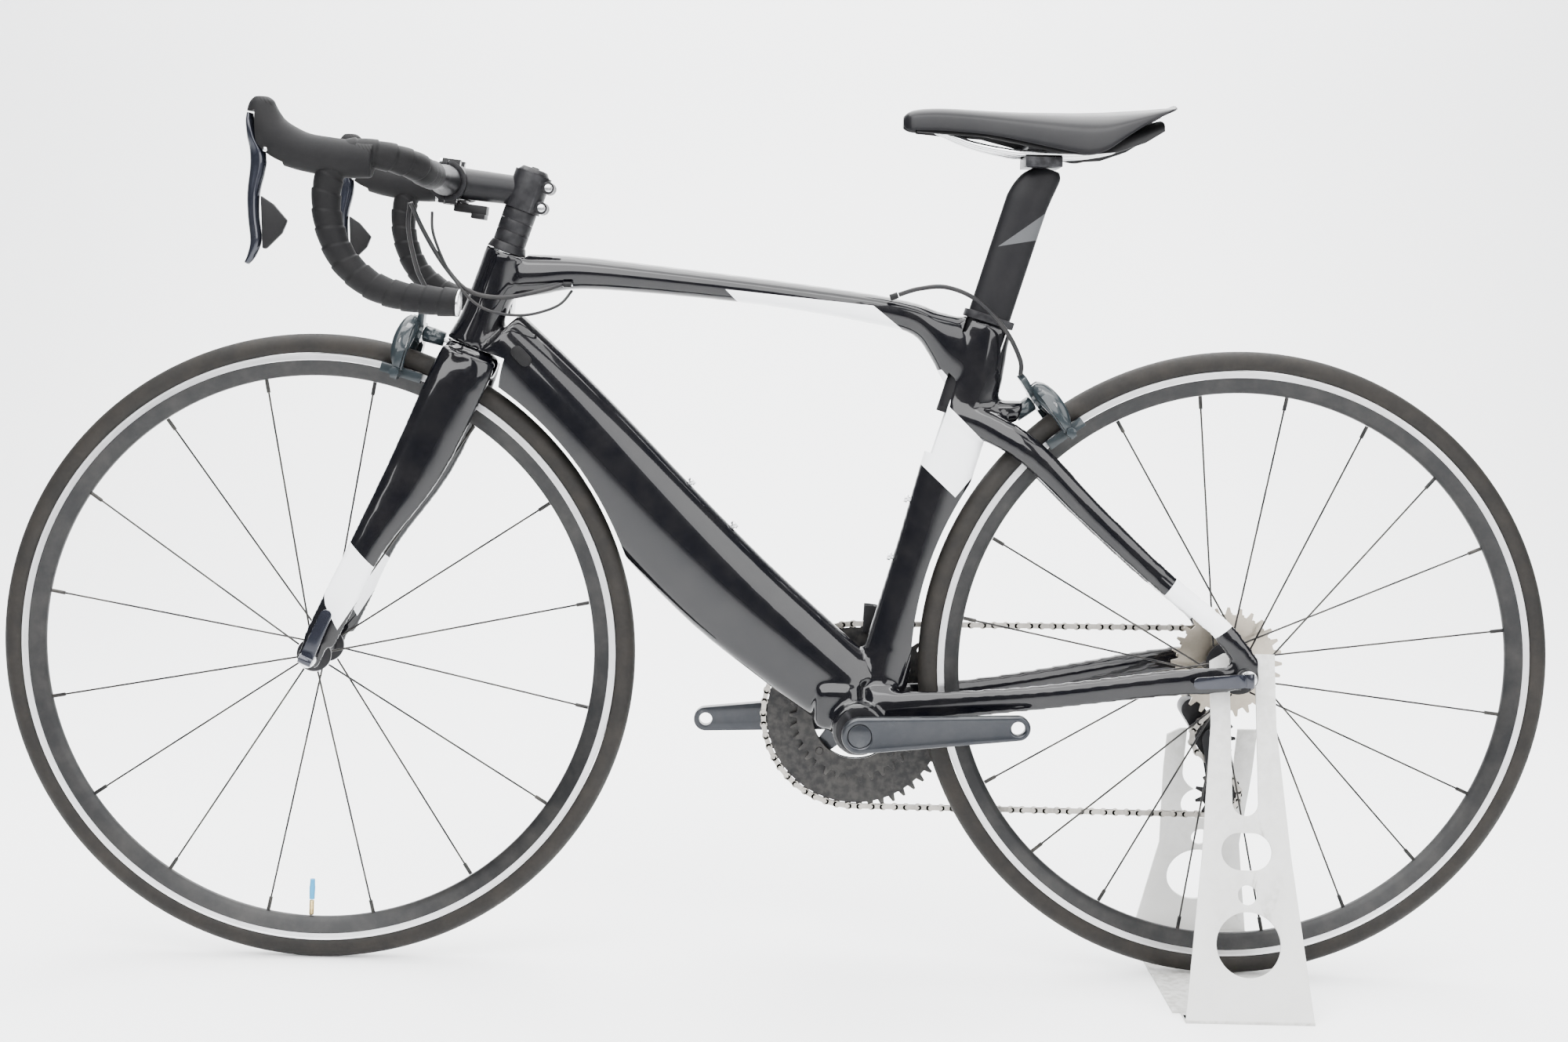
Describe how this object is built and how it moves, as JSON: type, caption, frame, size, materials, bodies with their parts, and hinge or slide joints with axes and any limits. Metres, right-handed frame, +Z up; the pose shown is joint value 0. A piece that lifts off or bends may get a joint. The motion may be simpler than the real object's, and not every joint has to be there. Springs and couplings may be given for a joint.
{
  "type": "bicycle on stand",
  "caption": "Drop-bar road bicycle with turning wheels, cranks and brakes, held upright by a bent sheet-metal stand at its rear axle.",
  "frame": {"origin": "on the floor, half way between the two axles, in the bicycle's middle plane", "axes": "+X points to the rear of the bicycle, +Y to its right side, +Z up"},
  "size_m": [1.6459, 0.436, 0.9238],
  "materials": {
    "white_steel": "satin",
    "gloss_black_frame": "gloss lacquer",
    "black_alloy": "satin anodised",
    "bright_steel": "brushed",
    "port_rubber": "matte",
    "cable_black": "satin",
    "satin_carbon": "satin",
    "saddle_black": "satin",
    "shell_plastic": "matte",
    "bar_tape": "matte",
    "hood_rubber": "matte",
    "lever_dark": "gloss metallic",
    "tyre_rubber": "dusty matte",
    "rim_black": "satin",
    "spoke_black": "satin",
    "valve_brass": "satin",
    "cog_nickel": "satin",
    "crank_grey": "satin metallic",
    "ring_black": "satin",
    "brake_grey": "gloss"
  },
  "bodies": {
    "stand": {"stand": "white_steel"},
    "frame": {"frame": "gloss_black_frame", "derailleur_hanger": "black_alloy", "seat_clamp": "black_alloy", "headset_bearings": "bright_steel", "bb_cups": "black_alloy", "frame_bolts": "bright_steel", "cable_ports": "port_rubber", "front_derailleur": "black_alloy", "chain": "bright_steel", "rd_body": "black_alloy", "rear_brake_cable": "cable_black", "bar_cables": "cable_black", "rear_axle": "bright_steel"},
    "seat": {"seatpost": "satin_carbon", "saddle_clamp": "black_alloy", "saddle_rails": "bright_steel", "saddle_shell": "shell_plastic", "saddle_cover": "saddle_black"},
    "steering": {"fork": "gloss_black_frame", "headset_stack": "black_alloy", "stem": "black_alloy", "stem_faceplate": "black_alloy", "steering_bolts": "bright_steel", "handlebar": "black_alloy", "bar_tape_left": "bar_tape", "bar_tape_right": "bar_tape", "hood_left": "hood_rubber", "hood_right": "hood_rubber", "junction_box": "shell_plastic", "front_brake_cable": "cable_black", "front_axle": "bright_steel"},
    "brake_lever_left": {"lever_left": "lever_dark"},
    "brake_lever_right": {"lever_right": "lever_dark"},
    "paddles_left": {"shift_paddles_left": "shell_plastic"},
    "paddles_right": {"shift_paddles_right": "shell_plastic"},
    "front_quick_release": {"front_qr_lever": "lever_dark"},
    "rear_quick_release": {"rear_qr_lever": "lever_dark"},
    "front_wheel": {"front_tyre": "tyre_rubber", "front_rim": "rim_black", "front_spokes": "spoke_black", "front_hub": "black_alloy", "front_valve": "valve_brass"},
    "rear_wheel": {"rear_tyre": "tyre_rubber", "rear_rim": "rim_black", "rear_spokes": "spoke_black", "rear_hub": "black_alloy", "rear_valve": "valve_brass"},
    "cassette": {"cassette": "cog_nickel"},
    "crankset": {"crank_left": "crank_grey", "crank_right": "crank_grey", "chainring_outer": "ring_black", "chainring_inner": "ring_black"},
    "derailleur_cage": {"rd_cage": "black_alloy"},
    "guide_pulley": {"guide_pulley": "shell_plastic"},
    "tension_pulley": {"tension_pulley": "shell_plastic"},
    "front_arm_left": {"front_brake_arm_left": "brake_grey"},
    "front_arm_right": {"front_brake_arm_right": "brake_grey"},
    "rear_arm_left": {"rear_brake_arm_left": "brake_grey"},
    "rear_arm_right": {"rear_brake_arm_right": "brake_grey"}
  },
  "joints": [
    {"name": "lift_off", "type": "slide", "parent": "stand", "child": "frame", "axis": [0, 0, 1], "range_m": [0, 0.4]},
    {"name": "seat_height", "type": "slide", "parent": "frame", "child": "seat", "axis": [0.284, 0, 0.9588], "range_m": [-0.04, 0.03]},
    {"name": "steer", "type": "hinge", "parent": "frame", "child": "steering", "pos_m": [-0.32692, 0, 0.66268], "axis": [0.3256, 0, 0.9455], "range_deg": [-45, 45], "deforming": ["bar_cables"]},
    {"name": "brake_left", "type": "hinge", "parent": "steering", "child": "brake_lever_left", "pos_m": [-0.4908, -0.2, 0.84594], "axis": [0, -1, 0], "range_deg": [0, 14], "stiffness_Nm_per_rad": 0.6},
    {"name": "brake_right", "type": "hinge", "parent": "steering", "child": "brake_lever_right", "pos_m": [-0.4908, 0.2, 0.84594], "axis": [0, -1, 0], "range_deg": [0, 14], "stiffness_Nm_per_rad": 0.6},
    {"name": "shift_left", "type": "hinge", "parent": "brake_lever_left", "child": "paddles_left", "pos_m": [-0.4908, -0.2, 0.84594], "axis": [0, 0, 1], "range_deg": [0, 5], "stiffness_Nm_per_rad": 0.3},
    {"name": "shift_right", "type": "hinge", "parent": "brake_lever_right", "child": "paddles_right", "pos_m": [-0.4908, 0.2, 0.84594], "axis": [0, 0, -1], "range_deg": [0, 5], "stiffness_Nm_per_rad": 0.3},
    {"name": "front_release", "type": "hinge", "parent": "steering", "child": "front_quick_release", "pos_m": [-0.487, -0.0715, 0.336], "axis": [0.9135, 0, -0.4067], "range_deg": [0, 120]},
    {"name": "rear_release", "type": "hinge", "parent": "frame", "child": "rear_quick_release", "pos_m": [0.487, -0.0875, 0.3393], "axis": [-0.0698, 0, 0.9976], "range_deg": [0, 120]},
    {"name": "front_wheel_spin", "type": "hinge", "parent": "steering", "child": "front_wheel", "pos_m": [-0.487, 0, 0.336], "axis": [0, 1, 0], "continuous": true},
    {"name": "rear_wheel_spin", "type": "hinge", "parent": "frame", "child": "rear_wheel", "pos_m": [0.487, 0, 0.3393], "axis": [0, 1, 0], "continuous": true},
    {"name": "crank_spin", "type": "hinge", "parent": "frame", "child": "crankset", "pos_m": [0.08815, 0, 0.269], "axis": [0, 1, 0], "continuous": true},
    {"name": "cassette_spin", "type": "hinge", "parent": "frame", "child": "cassette", "pos_m": [0.487, 0.043, 0.3393], "axis": [0, 1, 0], "continuous": true},
    {"name": "cage_swing", "type": "hinge", "parent": "frame", "child": "derailleur_cage", "pos_m": [0.479, 0.043, 0.2523], "axis": [0, 1, 0], "range_deg": [-12, 20], "stiffness_Nm_per_rad": 1.5, "deforming": ["chain"]},
    {"name": "guide_spin", "type": "hinge", "parent": "derailleur_cage", "child": "guide_pulley", "pos_m": [0.479, 0.043, 0.2523], "axis": [0, 1, 0], "continuous": true},
    {"name": "tension_spin", "type": "hinge", "parent": "derailleur_cage", "child": "tension_pulley", "pos_m": [0.489, 0.043, 0.1893], "axis": [0, 1, 0], "continuous": true},
    {"name": "front_brake_left", "type": "hinge", "parent": "steering", "child": "front_arm_left", "pos_m": [-0.38649, 0, 0.67752], "axis": [-0.9593, 0, 0.2823], "range_deg": [0, 1.6]},
    {"name": "front_brake_right", "type": "hinge", "parent": "steering", "child": "front_arm_right", "pos_m": [-0.38649, 0, 0.67752], "axis": [0.9593, 0, -0.2823], "range_deg": [0, 1.6]},
    {"name": "rear_brake_left", "type": "hinge", "parent": "frame", "child": "rear_arm_left", "pos_m": [0.27028, 0, 0.62173], "axis": [-0.7934, 0, -0.6088], "range_deg": [0, 1.6]},
    {"name": "rear_brake_right", "type": "hinge", "parent": "frame", "child": "rear_arm_right", "pos_m": [0.27028, 0, 0.62173], "axis": [0.7934, 0, 0.6088], "range_deg": [0, 1.6]}
  ],
  "couplings": [
    {"joint": "cassette_spin", "follows": "crank_spin", "ratio": 2.9412},
    {"joint": "guide_spin", "follows": "crank_spin", "ratio": -4.5455},
    {"joint": "tension_spin", "follows": "crank_spin", "ratio": 4.5455},
    {"joint": "front_brake_left", "follows": "brake_right", "ratio": 0.11428},
    {"joint": "front_brake_right", "follows": "brake_right", "ratio": 0.11428},
    {"joint": "rear_brake_left", "follows": "brake_left", "ratio": 0.11428},
    {"joint": "rear_brake_right", "follows": "brake_left", "ratio": 0.11428}
  ]
}
